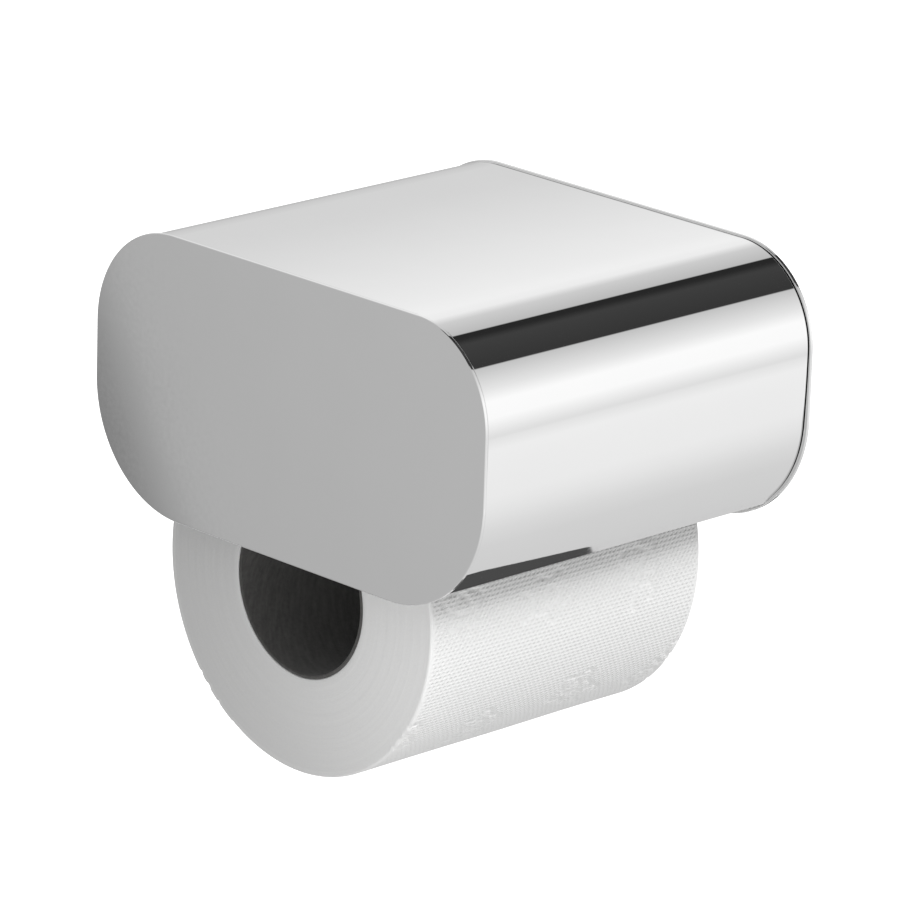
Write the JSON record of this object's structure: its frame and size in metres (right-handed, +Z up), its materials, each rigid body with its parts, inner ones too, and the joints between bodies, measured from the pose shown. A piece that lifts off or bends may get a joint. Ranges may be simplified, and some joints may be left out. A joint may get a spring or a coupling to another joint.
{
  "type": "toilet paper holder",
  "caption": "Wall-hung toilet paper holder with rounded end plates, a hinged wrap-over lid and a sprung bar carrying a paper roll.",
  "frame": {"origin": "on the wall, at mid width and mid height of the end plates", "axes": "+X along the roll to the user's right, +Y into the wall, +Z up; the front faces -Y"},
  "size_m": [0.123, 0.1515, 0.1433],
  "materials": {
    "chrome_plate": "mirror-polished chrome plating",
    "chrome_lid": "mirror-polished chrome plating on sheet",
    "chrome_bar": "polished chrome plating on tube",
    "chrome_socket": "polished chrome plating on turned parts",
    "cast_zinc": "satin zinc die casting, tumbled",
    "stainless_pin": "turned stainless steel",
    "spring_steel": "drawn spring steel, lightly oiled",
    "black_oxide": "black oxide steel",
    "brass_nut": "turned brass",
    "black_rubber": "matte moulded rubber",
    "ivory_nylon": "moulded nylon",
    "tissue": "embossed soft tissue, wound",
    "cardboard": "spiral-wound dark grey board"
  },
  "bodies": {
    "holder": {"wall_bracket": "cast_zinc", "bracket_grub_screws": "black_oxide", "back_bar": "chrome_plate", "back_guard": "chrome_plate", "guard_screws": "stainless_pin", "left_end_plate": "chrome_plate", "right_end_plate": "chrome_plate", "left_plate_studs": "stainless_pin", "right_plate_studs": "stainless_pin", "left_stud_nuts": "brass_nut", "right_stud_nuts": "brass_nut", "left_hinge_pin": "stainless_pin", "right_hinge_pin": "stainless_pin", "left_snap_ring": "spring_steel", "right_snap_ring": "spring_steel", "left_rest_post": "stainless_pin", "right_rest_post": "stainless_pin", "left_rest_sleeve": "black_rubber", "right_rest_sleeve": "black_rubber", "left_open_bumper": "black_rubber", "right_open_bumper": "black_rubber", "left_bar_socket": "chrome_socket", "right_bar_socket": "chrome_socket"},
    "lid": {"lid_cover": "chrome_lid", "left_lid_ear": "chrome_lid", "right_lid_ear": "chrome_lid", "left_hinge_bush": "ivory_nylon", "right_hinge_bush": "ivory_nylon"},
    "roll_bar": {"bar_tube": "chrome_bar", "bar_end_tip": "chrome_bar", "bar_ferrule": "chrome_bar", "bar_spring_stop": "ivory_nylon", "plunger_spring": "spring_steel"},
    "plunger": {"bar_plunger": "ivory_nylon"},
    "roll": {"roll_core": "cardboard", "roll_paper": "tissue"}
  },
  "joints": [
    {"name": "lid_lift", "type": "hinge", "parent": "holder", "child": "lid", "pos_m": [0, -0.03, 0.01], "axis": [-1, 0, 0], "range_deg": [0, 75]},
    {"name": "bar_spin", "type": "hinge", "parent": "holder", "child": "roll_bar", "pos_m": [0, -0.0715, -0.0333], "axis": [1, 0, 0], "continuous": true},
    {"name": "plunger_push", "type": "slide", "parent": "roll_bar", "child": "plunger", "axis": [1, 0, 0], "range_m": [0, 0.005], "stiffness_N_per_m": 400, "springref_m": -0.004, "deforming": ["plunger_spring"]},
    {"name": "roll_spin", "type": "hinge", "parent": "holder", "child": "roll", "pos_m": [0, -0.0715, -0.0516], "axis": [1, 0, 0], "continuous": true}
  ]
}
